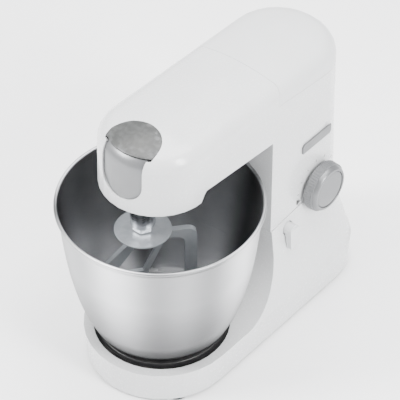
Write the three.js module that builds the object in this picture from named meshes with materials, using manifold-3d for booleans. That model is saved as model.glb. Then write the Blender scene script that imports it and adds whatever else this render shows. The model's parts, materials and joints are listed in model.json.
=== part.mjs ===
// A tilt-head stand mixer with a steel bowl, a planetary K-beater and two power outlets.
//
// Millimetres, +Z up. The dimensions below are laid out with the bowl's axis at x = y = 0, the bowl end
// towards -Y, the speed dial on the +X side and the table at z = 0. The exported group is then slid
// along Y, so that its origin is the middle of the footprint, on the table.

import * as THREE from 'three';
import { mergeVertices } from 'three/addons/utils/BufferGeometryUtils.js';
import Module from 'manifold-3d';

const wasm = await Module();
wasm.setup();

// ---------------------------------------------------------------------------------------------------
// Driving dimensions
// ---------------------------------------------------------------------------------------------------

const GAP = 0.4; // between pieces that sit against each other
const RUN = 0.8; // between pieces that turn past each other
const FAR = 600; // long enough for a cutter to pass right through

const FOOT = { radius: 11, height: 3.2, stem: 3.6, stemTop: 8, sideX: 62, frontY: -46, rearY: 250 };

const BASE = {
  bottom: 3.5, // underside of the shell and of the base plate
  top: 46.5, // flat surface round the bowl
  groundHalf: 88, // half width at the table
  topHalf: 92, // half width at the top surface
  groundRear: 287,
  rearCorner: 62, // plan radius of the two rear corners at the table
  wall: 3,
  plate: 2.4,
};

const TOWER = {
  half: 64.5,
  rear: 282.5,
  lean: 0.036, // how far the rear leans in, for each mm of height
  frontFoot: 121, // front face where the sweep up from the base ends
  frontTop: 121.5, // front face under the head, behind the bowl's rim
  sweep: 75, // radius of the sweep between the base and the tower
  top: 276.2,
  flareTop: 150, // height at which the pedestal reaches the tower's width
  flarePower: 1.7,
  wall: 3,
  bowlRelief: 5, // the front face is hollowed out this far outside the bowl's rim
};

const SEAM = { frontY: 118, frontZ: 138, slope: 0.098, gap: 0.6 };

const HINGE = { y: 262, barrel: 24, pin: 4, lugX: 15, lugWidth: 8, lugRadius: 7, discX: 26, discWidth: 8 };

const HEAD = {
  half: 66,
  frontCentre: -5, // the front end is a half circle about this point of the bowl's long axis
  rear: 278.5,
  draft: 0.05, // how far both ends lean in, for each mm of height
  topSlope: 0.042, // how fast the top rises towards the front
  sideTop: 322, // top of the upright sides at the rear
  edgeInset: 24, // the rounded long edges: how far in
  edgeRise: 22, // and how far up
  crownInset: 58,
  crownRise: 4,
  drumBottom: 276, // rim of the round gear housing over the bowl
  notchY: 1,
  notchZ: 288,
  towerZ: 277, // underside where the head meets the tower
  wall: 2.6,
};

const REAR_COVER = { topY: 138, cornerY: 128, cornerZ: 326, slope: 0.1 };

const OUTLET = {
  half: 28, // silver flap: half width
  recess: 2.5, // flap behind the head's surface
  bottom: 290,
  roundHeight: 24, // height of the flap's rounded lower end
  flapTop: 347,
  thick: 2.6,
  lipBottom: 350,
  lipInset: 9, // the lip's edge runs this far inside the head's outline
  plateCentreY: -46,
  plateRadius: 33,
  dimpleRadius: 26,
  dimpleDepth: 1.2,
};

const BOWL = {
  rim: 120,
  rimZ: 234,
  bead: 2.3,
  wall: 1.2,
  floorZ: 52,
  profile: [[72, 52.4], [79.5, 60], [86.9, 75], [94.5, 95], [101.1, 120], [107, 150], [111.6, 185], [115.6, 226]],
  ringOuter: 76,
  ringInner: 66,
  ringBottom: 43.7,
};

const SEAT = { recess: 80.5, floor: 41.4, spigot: 60, bore: 52, flange: 1.5, lug: 4.4, lugAngle: 30, tabAngle: 24 };

const GEAR = { module: 1.5, ring: 60, planet: 20, main: 48, pinion: 12, tooth: 0.38, addendum: 0.8, dedendum: 1.1 };

const CARRIER = { disc: 50.5, bottom: 277, thick: 3, shaft: 8, neck: 5, housing: 52, skirt: 3 };

const LEVEL = {
  ring: 281, // ring gear and planet pinion
  ringTop: 288,
  plate: 288.6,
  plateTop: 291,
  main: 292,
  mainTop: 298,
  bevel: 299.5,
  bevelTop: 305.5,
  belt: 305,
  beltTop: 311,
};

const BEVEL = { outer: 13.6, inner: 7.6, bore: 5.3, teeth: 14, tooth: 1.6 };

const PULLEY = { large: 30, small: 11, flange: 2, belt: 2.2 };

const MOTOR = {
  y: 200,
  shaft: 4,
  shaftBottom: 168,
  shaftTop: 331,
  statorOuter: 41,
  statorBore: 26,
  statorBottom: 205,
  statorTop: 250,
  bearing: 11,
  bearingHeight: 7,
  lowerBearing: 172,
  upperBearing: 284,
};

const TOOL = {
  socket: 14.5,
  socketBottom: 224,
  socketTop: 274,
  shank: 7,
  nutAcross: 22,
  nutBottom: 217.4,
  nutTop: 223.6,
  shield: 32.5,
  shieldZ: 214.4,
  shieldThick: 1.8,
  hubTop: 212.4,
  heading: 49, // degrees from +X to the plane of the beater
  armTop: 210,
  rightReach: 61,
  leftReach: 55,
  bottom: 57,
  bar: 14,
  thick: 7,
};

const DIAL = { y: 207, z: 157, radius: 31, face: 27.5, rear: 68.8, front: 85.5, shaft: 4, capRadius: 23.5 };

const LATCH = { y: 150, z: 126, shaft: 4, hub: 8, hookX: 36, hookWidth: 6, width: 15, bottom: 103, reach: 79 };

const BADGE = { y: 202.5, z: 228.5, length: 53, height: 13, rise: 1.8 };

// ---------------------------------------------------------------------------------------------------
// Derived places
// ---------------------------------------------------------------------------------------------------

const seamZ = (y) => SEAM.frontZ + SEAM.slope * (y - SEAM.frontY);
const hingeZ = seamZ(HINGE.y);
const sweepCentreY = TOWER.frontFoot - TOWER.sweep;
const sweepCentreZ = BASE.top + TOWER.sweep;
const planetOffset = (GEAR.module * (GEAR.ring - GEAR.planet)) / 2;
const pinionY = (GEAR.module * (GEAR.main + GEAR.pinion)) / 2;
const bevelAxisZ = LEVEL.bevel + BEVEL.outer + GAP;
const spindleY = -planetOffset;
const originY = (BASE.groundRear - BOWL.rim) / 2;

const headLift = (y) => HEAD.topSlope * Math.max(0, HEAD.rear - HEAD.half - y);

// Half width, rear end and rear corner of the pedestal at a height.
function pedestalPlan(z) {
  if (z <= BASE.top) {
    const rise = (z - BASE.bottom) / (BASE.top - BASE.bottom);
    const half = THREE.MathUtils.lerp(BASE.groundHalf, BASE.topHalf, rise);
    return { half, rear: BASE.groundRear, corner: BASE.rearCorner };
  }
  const left = Math.max(0, (TOWER.flareTop - z) / (TOWER.flareTop - BASE.top));
  const flare = Math.pow(left, TOWER.flarePower);
  return {
    half: THREE.MathUtils.lerp(TOWER.half, BASE.topHalf, flare),
    rear: THREE.MathUtils.lerp(TOWER.rear, BASE.groundRear, flare),
    corner: THREE.MathUtils.lerp(TOWER.half, BASE.rearCorner, flare),
  };
}

// ---------------------------------------------------------------------------------------------------
// Solids: helpers
// ---------------------------------------------------------------------------------------------------

// A closed geometry as a manifold solid, turned right side out if its faces point in.
function solid(geometry) {
  const bare = geometry.index ? geometry.toNonIndexed() : geometry.clone();
  bare.deleteAttribute('normal');
  bare.deleteAttribute('uv');
  const merged = mergeVertices(bare, 1e-4);
  const triVerts = new Uint32Array(merged.index.array);
  const vertProperties = new Float32Array(merged.attributes.position.array);
  const made = new wasm.Manifold(new wasm.Mesh({ numProp: 3, vertProperties, triVerts }));
  if (made.volume() >= 0) return made;
  for (let i = 0; i < triVerts.length; i += 3) {
    [triVerts[i + 1], triVerts[i + 2]] = [triVerts[i + 2], triVerts[i + 1]];
  }
  return new wasm.Manifold(new wasm.Mesh({ numProp: 3, vertProperties, triVerts }));
}

function geometryOf(made) {
  const mesh = made.getMesh();
  const geometry = new THREE.BufferGeometry();
  const positions = new Float32Array((mesh.vertProperties.length / mesh.numProp) * 3);
  for (let i = 0; i < positions.length / 3; i++) {
    for (let axis = 0; axis < 3; axis++) {
      positions[3 * i + axis] = mesh.vertProperties[i * mesh.numProp + axis];
    }
  }
  geometry.setAttribute('position', new THREE.BufferAttribute(positions, 3));
  geometry.setIndex(new THREE.BufferAttribute(new Uint32Array(mesh.triVerts), 1));
  const flat = geometry.toNonIndexed();
  flat.computeVertexNormals();
  return flat;
}

// Adds up a list of solids.
function union(solids) {
  return solids.reduce((sum, next) => sum.add(next));
}

// A solid turned about the Z axis from a profile of [radius, height] pairs that closes on itself.
function turned(profile, { x = 0, y = 0, segments = 24 } = {}) {
  const points = profile.map(([radius, height]) => new THREE.Vector2(radius, height));
  points.push(points[0].clone());
  const geometry = new THREE.LatheGeometry(points, segments);
  geometry.rotateX(Math.PI / 2);
  geometry.translate(x, y, 0);
  return solid(geometry);
}

// The same, lying along +X or -Y: heights of the profile are distances along that axis.
function turnedAlongX(profile, y, z, segments = 24) {
  const points = profile.map(([radius, height]) => new THREE.Vector2(radius, height));
  points.push(points[0].clone());
  const geometry = new THREE.LatheGeometry(points, segments);
  geometry.rotateZ(-Math.PI / 2);
  geometry.translate(0, y, z);
  return solid(geometry);
}

function turnedAlongY(profile, x, z, segments = 24) {
  const points = profile.map(([radius, height]) => new THREE.Vector2(radius, height));
  points.push(points[0].clone());
  const geometry = new THREE.LatheGeometry(points, segments);
  geometry.translate(x, 0, z);
  return solid(geometry);
}

const disc = (radius, low, high) => [[0, low], [radius, low], [radius, high], [0, high]];
const ring = (inner, outer, low, high) => [[inner, low], [outer, low], [outer, high], [inner, high]];

function box(x0, x1, y0, y1, z0, z1) {
  const geometry = new THREE.BoxGeometry(x1 - x0, y1 - y0, z1 - z0);
  geometry.translate((x0 + x1) / 2, (y0 + y1) / 2, (z0 + z1) / 2);
  return solid(geometry);
}

// An outline drawn in plan (x, y), raised from z0 to z1.
function raised(shape, z0, z1, curveSegments = 24) {
  const geometry = new THREE.ExtrudeGeometry(shape, { depth: z1 - z0, bevelEnabled: false, curveSegments });
  geometry.translate(0, 0, z0);
  return solid(geometry);
}

// An outline drawn in side view (y, z), carried across the machine from x0 to x1.
function across(shape, x0 = -FAR, x1 = FAR, curveSegments = 10) {
  const geometry = new THREE.ExtrudeGeometry(shape, { depth: x1 - x0, bevelEnabled: false, curveSegments });
  const turn = new THREE.Matrix4().makeBasis(
    new THREE.Vector3(0, 1, 0),
    new THREE.Vector3(0, 0, 1),
    new THREE.Vector3(1, 0, 0),
  );
  geometry.applyMatrix4(turn);
  geometry.translate(x0, 0, 0);
  return solid(geometry);
}

// An outline drawn in front view (x, z), carried back from y0 to y1.
function backwards(shape, y0, y1, curveSegments = 16) {
  const geometry = new THREE.ExtrudeGeometry(shape, { depth: y1 - y0, bevelEnabled: false, curveSegments });
  geometry.rotateX(Math.PI / 2);
  geometry.translate(0, y1, 0);
  return solid(geometry);
}

function polygon(points) {
  return new THREE.Shape(points.map(([u, v]) => new THREE.Vector2(u, v)));
}

// A plan outline with a half-circle front and two rounded rear corners, as a counterclockwise ring.
function planRing({ half, rear, corner }, inset, frontCentre, z) {
  const radius = half - inset;
  const rearCorner = Math.min(corner - inset, radius - 0.5);
  const cornerY = rear - inset - rearCorner;
  const points = [];
  const arc = (cx, cy, r, from, to, steps) => {
    for (let i = 0; i <= steps; i++) {
      const angle = THREE.MathUtils.degToRad(from + ((to - from) * i) / steps);
      points.push(new THREE.Vector3(cx + r * Math.cos(angle), cy + r * Math.sin(angle), z));
    }
  };
  arc(radius - rearCorner, cornerY, rearCorner, 0, 90, 7);
  arc(rearCorner - radius, cornerY, rearCorner, 90, 180, 7);
  arc(0, frontCentre, radius, 180, 360, 16);
  return points;
}

// A solid skinned over rings of equal length, lowest first.
function skinned(rings) {
  const count = rings[0].length;
  const positions = rings.flat().flatMap((point) => [point.x, point.y, point.z]);
  const faces = [];
  for (let level = 0; level + 1 < rings.length; level++) {
    for (let i = 0; i < count; i++) {
      const a = level * count + i;
      const b = level * count + ((i + 1) % count);
      faces.push(a, b, b + count, a, b + count, a + count);
    }
  }
  const top = (rings.length - 1) * count;
  for (let i = 1; i + 1 < count; i++) {
    faces.push(0, i + 1, i, top, top + i, top + i + 1);
  }
  const geometry = new THREE.BufferGeometry();
  geometry.setAttribute('position', new THREE.Float32BufferAttribute(positions, 3));
  geometry.setIndex(faces);
  return solid(geometry);
}

// ---------------------------------------------------------------------------------------------------
// Cutters that several pieces share
// ---------------------------------------------------------------------------------------------------

// Everything in front of the tower and above the base, up to the head: flat, then the sweep, then the
// nearly upright front face. An inset moves the surface into the material.
function frontSpace(inset) {
  const shape = new THREE.Shape();
  const high = TOWER.top + 40;
  shape.moveTo(-FAR, BASE.top - inset);
  shape.lineTo(sweepCentreY, BASE.top - inset);
  shape.absarc(sweepCentreY, sweepCentreZ, TOWER.sweep + inset, -Math.PI / 2, 0, false);
  shape.lineTo(TOWER.frontTop + inset, TOWER.top);
  shape.lineTo(TOWER.frontTop + inset, high);
  shape.lineTo(-FAR, high);
  shape.closePath();
  return across(shape);
}

// The hollow in the tower's front face that keeps clear of the bowl's rim.
function bowlRelief(inset) {
  const radius = BOWL.rim + TOWER.bowlRelief + inset;
  const start = BOWL.rimZ - 48 - inset;
  return turned([[0, start], [radius - 9, start], [radius, start + 12], [radius, FAR], [0, FAR]], { segments: 72 });
}

// The space above the seam between pedestal and tower, raised or lowered by a shift.
function aboveSeam(shift) {
  const z = (y) => seamZ(y) + shift;
  return across(polygon([[-FAR, z(-FAR)], [FAR, z(FAR)], [FAR, FAR], [-FAR, FAR]]));
}

function hingeCylinder(radius, x0 = -FAR, x1 = FAR, segments = 36) {
  return turnedAlongX(disc(radius, x0, x1), HINGE.y, hingeZ, segments);
}

// The space that the removable rear cover fills, grown by a margin at its front and underside.
function coverSpace(margin) {
  const low = (y) => REAR_COVER.cornerZ - REAR_COVER.slope * (y - REAR_COVER.cornerY) - margin;
  return across(polygon([
    [REAR_COVER.cornerY - margin, low(REAR_COVER.cornerY)],
    [FAR, low(FAR)],
    [FAR, FAR],
    [REAR_COVER.topY - margin, FAR],
    [REAR_COVER.topY - margin, HEAD.sideTop + HEAD.edgeRise],
  ]));
}

// ---------------------------------------------------------------------------------------------------
// Pedestal
// ---------------------------------------------------------------------------------------------------

function pedestalBlock(inset, bottom) {
  const heights = [bottom, BASE.top, 60, 76, 94, 114, TOWER.flareTop, 176];
  const rings = heights.map((z) => planRing(pedestalPlan(Math.max(z, BASE.bottom)), inset, 0, z));
  return skinned(rings);
}

const screwPlaces = [[77, 30], [-77, 30], [77, 222], [-77, 222]];

function pedestalShell() {
  const cradle = HINGE.barrel + SEAM.gap;
  const outer = pedestalBlock(0, BASE.bottom)
    .subtract(frontSpace(0))
    .subtract(aboveSeam(-SEAM.gap / 2))
    .subtract(hingeCylinder(cradle));
  const cavity = pedestalBlock(BASE.wall, BASE.bottom - 5)
    .subtract(frontSpace(BASE.wall))
    .subtract(aboveSeam(-SEAM.gap / 2 - BASE.wall))
    .subtract(hingeCylinder(cradle + BASE.wall))
    .subtract(turned(disc(SEAT.recess + BASE.wall, SEAT.floor - BASE.wall, FAR), { segments: 32 }));
  const postLow = BASE.bottom + BASE.plate + GAP;
  const post = (x, y) => turned(disc(7, postLow, 34), { x, y, segments: 14 })
    .add(box(Math.min(x, 2 * x), Math.max(x, 2 * x), y - 2, y + 2, postLow, 30));
  const pilot = (x, y) => turned(disc(2.3, 0, 24), { x, y, segments: 12 });
  const lug = (x) => {
    const shape = new THREE.Shape();
    shape.moveTo(HINGE.y - HINGE.lugRadius, hingeZ - cradle - BASE.wall / 2);
    shape.lineTo(HINGE.y + HINGE.lugRadius, hingeZ - cradle - BASE.wall / 2);
    shape.absarc(HINGE.y, hingeZ, HINGE.lugRadius, 0, Math.PI, false);
    shape.closePath();
    return across(shape, x - HINGE.lugWidth / 2, x + HINGE.lugWidth / 2);
  };
  const posts = union(screwPlaces.map(([x, y]) => post(x, y)));
  let shell = outer.subtract(cavity).add(posts.intersect(pedestalBlock(BASE.wall / 2, BASE.bottom)));
  shell = shell.subtract(turned(disc(SEAT.recess, SEAT.floor, BASE.top + 5), { segments: 44 }));
  shell = shell.add(lug(HINGE.lugX)).add(lug(-HINGE.lugX));
  shell = shell.subtract(hingeCylinder(HINGE.pin + 0.3, -FAR, FAR, 24));
  for (const [x, y] of screwPlaces) shell = shell.subtract(pilot(x, y));
  const hookX0 = LATCH.hookX - 3;
  const hookX1 = LATCH.hookX + LATCH.hookWidth + 3;
  shell = shell.subtract(box(hookX0, hookX1, LATCH.y - 9, LATCH.y + 24, LATCH.z + 6, FAR));
  shell = shell.subtract(turnedAlongX(disc(LATCH.hub + 1.2, LATCH.hookX + 20, FAR), LATCH.y, LATCH.z));
  return shell.subtract(turnedAlongY(disc(9 + GAP, 240, FAR), -30, 24, 24));
}

function basePlate() {
  const inset = BASE.wall + GAP;
  const plan = pedestalPlan(BASE.bottom);
  const top = BASE.bottom + BASE.plate;
  let plate = skinned([planRing(plan, inset, 0, BASE.bottom), planRing(plan, inset, 0, top)]);
  for (const [x, y] of footPlaces) plate = plate.subtract(turned(disc(FOOT.stem + GAP, 0, 20), { x, y, segments: 12 }));
  for (const [x, y] of screwPlaces) plate = plate.subtract(turned(disc(2.3, 0, 20), { x, y, segments: 12 }));
  return plate;
}

const footPlaces = [
  [FOOT.sideX, FOOT.frontY],
  [-FOOT.sideX, FOOT.frontY],
  [FOOT.sideX, FOOT.rearY],
  [-FOOT.sideX, FOOT.rearY],
];

function foot([x, y]) {
  const { radius, height, stem, stemTop } = FOOT;
  const profile = [[0, 0], [radius - 1, 0], [radius, 1], [radius, height], [stem, height], [stem, stemTop], [0, stemTop]];
  return turned(profile, { x, y, segments: 16 });
}

function baseScrew([x, y]) {
  return turned([[0, 1.2], [4.2, 1.2], [4.2, 3.2], [2, 3.2], [2, 18], [0, 18]], { x, y, segments: 12 });
}

function sector(inner, outer, centre, width) {
  const from = THREE.MathUtils.degToRad(centre - width / 2);
  const to = THREE.MathUtils.degToRad(centre + width / 2);
  const shape = new THREE.Shape();
  shape.absarc(0, 0, outer, from, to, false);
  shape.absarc(0, 0, inner, to, from, true);
  shape.closePath();
  return shape;
}

function bowlSeat() {
  const low = SEAT.floor + GAP;
  const { spigot, bore, flange } = SEAT;
  const high = BOWL.floorZ - 1.4;
  const profile = [
    [bore, low], [SEAT.recess - GAP, low], [SEAT.recess - GAP, low + flange],
    [spigot, low + flange], [spigot, high], [bore, high],
  ];
  const lugs = [30, 150, 270].map((angle) =>
    raised(sector(spigot - 1, spigot + SEAT.lug, angle, SEAT.lugAngle), high - 2, high, 4));
  return union([turned(profile, { segments: 44 }), ...lugs]);
}

function cordGland() {
  const inside = BASE.groundRear - 9;
  const flange = inside - 3;
  const hole = 3.6;
  const profile = [[hole, flange], [12, flange], [12, inside - 0.4], [9, inside - 0.4], [8, BASE.groundRear - 1.5],
    [hole, BASE.groundRear - 1.5]];
  return turnedAlongY(profile, -30, 24, 18);
}

// ---------------------------------------------------------------------------------------------------
// Bowl
// ---------------------------------------------------------------------------------------------------

function bowlBody() {
  const outer = BOWL.profile;
  const inner = outer.map(([radius, z]) => [radius - BOWL.wall, z + BOWL.wall / 2]).reverse();
  const [topRadius, topZ] = outer[outer.length - 1];
  const beadCentre = BOWL.rim - BOWL.bead;
  const bead = [];
  for (let step = -1; step <= 3; step++) {
    const angle = THREE.MathUtils.degToRad(step * 50);
    bead.push([beadCentre + BOWL.bead * Math.cos(angle), BOWL.rimZ + BOWL.bead * Math.sin(angle)]);
  }
  const profile = [
    [0, BOWL.floorZ], [67, BOWL.floorZ], ...outer, [topRadius + 0.6, topZ + 4.5], ...bead,
    ...inner, [66, BOWL.floorZ + BOWL.wall], [0, BOWL.floorZ + BOWL.wall],
  ];
  return turned(profile, { segments: 44 });
}

function bowlFootRing() {
  const { ringInner, ringOuter, ringBottom, floorZ } = BOWL;
  const top = floorZ - GAP;
  const profile = [
    [ringInner, ringBottom], [ringOuter - 1, ringBottom], [ringOuter, ringBottom + 1.4],
    [ringOuter, top - 0.8], [ringOuter - 3.6, top], [ringInner, top],
  ];
  const tabBottom = ringBottom + 0.4;
  const tabTop = floorZ - 1.4 - 2 - 0.6;
  const tabs = [30, 150, 270].map((angle) =>
    raised(sector(SEAT.spigot + RUN, ringInner + 1, angle, SEAT.tabAngle), tabBottom, tabTop, 4));
  return union([turned(profile, { segments: 44 }), ...tabs]);
}

// ---------------------------------------------------------------------------------------------------
// Upper tower and head shells
// ---------------------------------------------------------------------------------------------------

function towerBlock(inset, bottom, top) {
  const rearAt = (z) => TOWER.rear - TOWER.lean * Math.max(0, z - TOWER.flareTop);
  const plan = (z) => ({ half: TOWER.half, rear: rearAt(z), corner: TOWER.half });
  return skinned([bottom, TOWER.flareTop, top].map((z) => planRing(plan(z), inset, 0, z)));
}

function upperTower() {
  const shift = SEAM.gap / 2;
  const { wall } = TOWER;
  const low = hingeZ - HINGE.barrel - 5;
  const zone = aboveSeam(shift).add(hingeCylinder(HINGE.barrel));
  const hollow = aboveSeam(shift + wall).add(hingeCylinder(HINGE.barrel - wall, -FAR, FAR, 28));
  const outer = towerBlock(0, low, TOWER.top).intersect(zone).subtract(frontSpace(0)).subtract(bowlRelief(0));
  const cavity = towerBlock(wall, low, TOWER.top + 5)
    .intersect(hollow)
    .subtract(frontSpace(wall))
    .subtract(bowlRelief(wall));
  const bearingDisc = (x) => hingeCylinder(HINGE.barrel - 1, x - HINGE.discWidth / 2, x + HINGE.discWidth / 2)
    .intersect(towerBlock(1, low, hingeZ + HINGE.pin + 5));
  let shell = outer.subtract(cavity).add(bearingDisc(HINGE.discX)).add(bearingDisc(-HINGE.discX));
  shell = shell.subtract(hingeCylinder(HINGE.pin + 0.3, -HINGE.discX - 6, HINGE.discX + 6, 24));
  for (const side of [-1, 1]) {
    const x0 = side * HINGE.lugX - HINGE.lugWidth / 2 - RUN;
    const x1 = side * HINGE.lugX + HINGE.lugWidth / 2 + RUN;
    shell = shell.subtract(lugSlot(x0, x1));
  }
  const hookX0 = LATCH.hookX - 3;
  const hookX1 = LATCH.hookX + LATCH.hookWidth + 3;
  shell = shell.subtract(box(hookX0, hookX1, LATCH.y - 12, LATCH.y + 26, seamZ(LATCH.y) - 8, seamZ(LATCH.y) + 10));
  return shell.subtract(turnedAlongX(disc(DIAL.shaft + RUN, 55, 75), DIAL.y, DIAL.z, 20));
}

// The slot through the hinge barrel that lets it turn past a pedestal lug.
function lugSlot(x0, x1) {
  const shape = new THREE.Shape();
  const reach = HINGE.barrel + 4;
  const from = THREE.MathUtils.degToRad(-114);
  const to = THREE.MathUtils.degToRad(-14);
  shape.moveTo(HINGE.y, hingeZ);
  shape.lineTo(HINGE.y + reach * Math.cos(from), hingeZ + reach * Math.sin(from));
  shape.absarc(HINGE.y, hingeZ, reach, from, to, false);
  shape.closePath();
  const body = across(shape, x0, x1);
  return body.add(hingeCylinder(HINGE.lugRadius + RUN, x0, x1, 24));
}

// Leans both ends of a ring of the head in, and lifts it towards the front.
function shapedRing(points, lifted) {
  const rearCentre = HEAD.rear - HEAD.half;
  return points.map((point) => {
    const lean = HEAD.draft * Math.max(0, point.z - HEAD.drumBottom);
    const front = Math.max(0, HEAD.frontCentre - point.y) / HEAD.half;
    const back = Math.max(0, point.y - rearCentre) / HEAD.half;
    const z = point.z + (lifted ? headLift(point.y) : 0);
    return new THREE.Vector3(point.x, point.y + lean * (front - back), z);
  });
}

function headBlock(inset) {
  const plan = { half: HEAD.half, rear: HEAD.rear, corner: HEAD.half };
  const rings = [planRing(plan, inset, HEAD.frontCentre, HEAD.drumBottom - 12)];
  for (let step = 0; step <= 5; step++) {
    const angle = (Math.PI / 2) * (step / 5);
    const edge = HEAD.edgeInset * (1 - Math.cos(angle));
    const z = HEAD.sideTop - inset * 0.2 + (HEAD.edgeRise - inset * 0.8) * Math.sin(angle);
    rings.push(shapedRing(planRing(plan, inset + edge * 0.95, HEAD.frontCentre, z), true));
  }
  const top = HEAD.sideTop + HEAD.edgeRise - inset;
  rings.push(shapedRing(planRing(plan, 40, HEAD.frontCentre, top + 0.7 * HEAD.crownRise), true));
  rings.push(shapedRing(planRing(plan, HEAD.crownInset, HEAD.frontCentre, top + HEAD.crownRise), true));
  return skinned(rings);
}

// The space under the head: a low rim round the gear housing, then a step up and a slope to the tower.
function underside(inset) {
  return across(polygon([
    [-FAR, 0],
    [FAR, 0],
    [FAR, HEAD.towerZ + inset],
    [TOWER.frontTop, HEAD.towerZ + inset],
    [HEAD.notchY + 1, HEAD.notchZ + inset],
    [HEAD.notchY - 3, HEAD.notchZ - 4 + inset],
    [HEAD.notchY - 8, HEAD.drumBottom + inset],
    [-FAR, HEAD.drumBottom + inset],
  ]));
}

// The flap's outline in front view, and the catch plate's in plan.
function flapOutline(margin, top) {
  const half = OUTLET.half + margin;
  const low = OUTLET.bottom + OUTLET.roundHeight;
  const shape = new THREE.Shape();
  shape.moveTo(half, top);
  shape.lineTo(-half, top);
  shape.lineTo(-half, low);
  shape.absellipse(0, low, half, OUTLET.roundHeight + margin, Math.PI, 2 * Math.PI, false, 0);
  shape.closePath();
  return shape;
}

function catchOutline(margin) {
  const radius = OUTLET.plateRadius + margin;
  const lip = HEAD.half - OUTLET.lipInset + margin;
  const centre = OUTLET.plateCentreY;
  // The two circles meet at the plate's front corners.
  const apart = centre - HEAD.frontCentre;
  const cornerY = HEAD.frontCentre + (lip * lip - radius * radius + apart * apart) / (2 * apart);
  const cornerX = Math.sqrt(lip * lip - (cornerY - HEAD.frontCentre) ** 2);
  const rearAngle = Math.atan2(cornerY - centre, cornerX);
  const lipAngle = Math.atan2(cornerY - HEAD.frontCentre, cornerX);
  const shape = new THREE.Shape();
  shape.absarc(0, centre, radius, rearAngle, Math.PI - rearAngle, false);
  shape.absarc(0, HEAD.frontCentre, lip, -Math.PI - lipAngle, lipAngle, false);
  shape.closePath();
  return shape;
}

function catchSpace(margin, bottom) {
  const plate = raised(catchOutline(margin), bottom, FAR, 20);
  const band = backwards(flapOutline(margin, FAR), -FAR, OUTLET.plateCentreY)
    .intersect(box(-FAR, FAR, -FAR, FAR, OUTLET.lipBottom - margin, FAR));
  return plate.add(band);
}

function flapSpace(margin) {
  return backwards(flapOutline(margin, OUTLET.flapTop + margin), -FAR, OUTLET.plateCentreY);
}

function headCasing() {
  const { wall } = HEAD;
  const outer = headBlock(0).subtract(underside(0)).subtract(coverSpace(GAP));
  const cavity = headBlock(wall).subtract(underside(wall)).subtract(coverSpace(GAP + wall));
  const skirtRadius = CARRIER.housing + GAP + CARRIER.skirt;
  const skirt = turned(disc(skirtRadius, HEAD.drumBottom, LEVEL.plate - GAP), { segments: 36 });
  let shell = outer.subtract(cavity).add(skirt.intersect(headBlock(wall / 2)));
  shell = shell.subtract(turned(disc(CARRIER.housing + GAP, 260, LEVEL.plateTop + 5), { segments: 36 }));
  shell = shell.subtract(towerBlock(TOWER.wall, 250, HEAD.towerZ + wall + 8).subtract(frontSpace(TOWER.wall + 3)));
  shell = shell.subtract(turned(disc(20, 300, FAR), { y: MOTOR.y, segments: 20 }));
  shell = shell.subtract(catchSpace(GAP, OUTLET.lipBottom - 4));
  return shell.subtract(flapSpace(GAP).add(backwards(flapOutline(GAP, OUTLET.lipBottom), -FAR, -48)));
}

function rearCover() {
  const { wall } = HEAD;
  const hollow = headBlock(wall).subtract(box(-FAR, FAR, -FAR, REAR_COVER.topY + wall, 0, FAR));
  return headBlock(0).intersect(coverSpace(0)).subtract(hollow);
}

function outletFlap() {
  const skin = headBlock(OUTLET.recess).subtract(headBlock(OUTLET.recess + OUTLET.thick));
  return skin.intersect(flapSpace(0));
}

function outletCatch() {
  const skin = headBlock(0).subtract(headBlock(OUTLET.thick));
  const dimpleY = OUTLET.plateCentreY + 14;
  const surfaceZ = HEAD.sideTop + HEAD.edgeRise + HEAD.crownRise + headLift(dimpleY);
  const dimple = new THREE.SphereGeometry(OUTLET.dimpleRadius, 24, 16);
  dimple.translate(0, dimpleY, surfaceZ - OUTLET.dimpleDepth + OUTLET.dimpleRadius);
  return skin.intersect(catchSpace(0, OUTLET.lipBottom)).subtract(solid(dimple));
}

// Fixed frame behind the flap: a plate that carries the slow-speed socket.
function outletHousing() {
  const plateY = -52;
  const shape = new THREE.Shape();
  const low = LEVEL.plateTop + GAP;
  shape.moveTo(-38, low);
  shape.lineTo(38, low);
  shape.lineTo(38, bevelAxisZ + 12);
  shape.lineTo(-38, bevelAxisZ + 12);
  shape.closePath();
  const plate = backwards(shape, plateY, plateY + 3).intersect(headBlock(HEAD.wall + GAP));
  return plate.subtract(turnedAlongY(disc(15 + GAP, -70, -40), 0, bevelAxisZ, 28));
}

function slowSocket() {
  return turnedAlongY([[9, -60], [15, -60], [15, -49.5], [17, -48.6], [17, -45], [9, -45]], 0, bevelAxisZ, 28)
    .subtract(turnedAlongY(ring(15.1, 18, -49.6, -48.5), 0, bevelAxisZ, 28));
}

// ---------------------------------------------------------------------------------------------------
// Gears, pulleys and drive
// ---------------------------------------------------------------------------------------------------

// A toothed outline: a trapezium for each tooth, thinner than half the pitch so that it runs with play.
// turn is the angle of a tooth's middle, in degrees; inward teeth are those of a ring gear.
function toothOutline(teeth, turn, inward = false) {
  const { module, tooth, addendum, dedendum } = GEAR;
  const pitch = (module * teeth) / 2;
  const sign = inward ? -1 : 1;
  const tip = pitch + sign * addendum * module;
  const root = pitch - sign * dedendum * module;
  const step = (2 * Math.PI) / teeth;
  const points = [];
  for (let i = 0; i < teeth; i++) {
    const middle = THREE.MathUtils.degToRad(turn) + i * step;
    const wide = tooth * step * 0.78;
    const narrow = tooth * step * 0.3;
    for (const [radius, offset] of [[root, -wide], [tip, -narrow], [tip, narrow], [root, wide]]) {
      points.push(new THREE.Vector2(radius * Math.cos(middle + offset), radius * Math.sin(middle + offset)));
    }
  }
  return points;
}

function spurGear(teeth, turn, low, high, bore, x = 0, y = 0) {
  const gear = raised(new THREE.Shape(toothOutline(teeth, turn)), low, high);
  const moved = new wasm.Manifold(gear.getMesh()).translate([x, y, 0]);
  return moved.subtract(turned(disc(bore, low - 1, high + 1), { x, y, segments: 24 }));
}

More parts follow.
